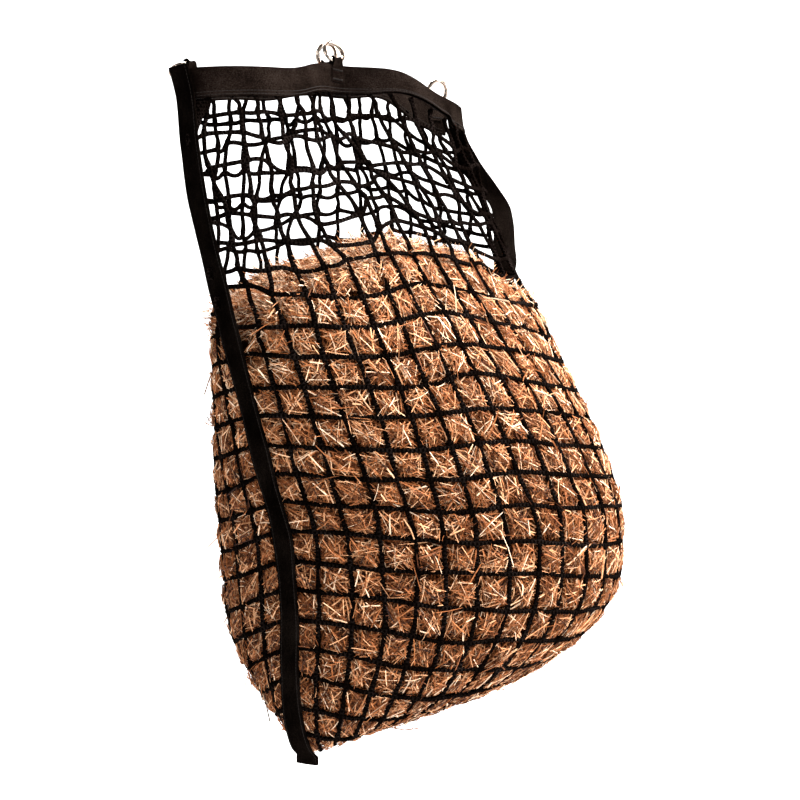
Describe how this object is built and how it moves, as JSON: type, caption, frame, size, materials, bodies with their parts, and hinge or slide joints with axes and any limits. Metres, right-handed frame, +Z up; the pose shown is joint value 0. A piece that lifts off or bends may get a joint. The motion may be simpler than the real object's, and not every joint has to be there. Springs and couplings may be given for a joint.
{
  "type": "hay net",
  "caption": "Filled hay net for horses: a flat bag of square-mesh cord netting with webbing around its mouth and sides, hung by metal rings in webbing tabs.",
  "frame": {"origin": "where a hook bears inside the two centre rings, midway between the front and back of the mouth", "axes": "+Z up as hung, +X along the mouth towards the viewer's right when facing the front panel, +Y from the front panel to the back panel"},
  "size_m": [0.6182, 0.3808, 0.952],
  "materials": {
    "netting": "matt braided cord",
    "webbing": "matt woven webbing",
    "thread": "dense sewing thread",
    "hay": "dry loose grass stalks",
    "ring_steel": "polished plating"
  },
  "bodies": {
    "bag": {"front_net_panel": "netting", "back_net_panel": "netting", "front_mouth_band": "webbing", "back_mouth_band": "webbing", "left_side_binding": "webbing", "right_side_binding": "webbing", "hay_fill": "hay", "front_centre_tab": "webbing", "back_centre_tab": "webbing", "back_left_tab": "webbing", "back_right_tab": "webbing", "tab_bar_tacks": "thread"},
    "front_centre_ring": {"front_centre_ring": "ring_steel"},
    "back_centre_ring": {"back_centre_ring": "ring_steel"},
    "back_left_ring": {"back_left_ring": "ring_steel"},
    "back_right_ring": {"back_right_ring": "ring_steel"}
  },
  "joints": [
    {"name": "front_centre_ring_swing", "type": "hinge", "parent": "bag", "child": "front_centre_ring", "pos_m": [0, -0.013, -0.02443], "axis": [1, 0, 0], "range_deg": [0, 108.9]},
    {"name": "back_centre_ring_swing", "type": "hinge", "parent": "bag", "child": "back_centre_ring", "pos_m": [0, 0.013, -0.02443], "axis": [1, 0, 0], "range_deg": [-108.9, 0]},
    {"name": "back_left_ring_swing", "type": "hinge", "parent": "bag", "child": "back_left_ring", "pos_m": [-0.20563, 0.00958, -0.06105], "axis": [0.9727, 0.2319, 0], "range_deg": [0, 198]},
    {"name": "back_right_ring_swing", "type": "hinge", "parent": "bag", "child": "back_right_ring", "pos_m": [0.19421, 0.01011, -0.0422], "axis": [0.9809, -0.1948, 0], "range_deg": [-105, 75]}
  ]
}
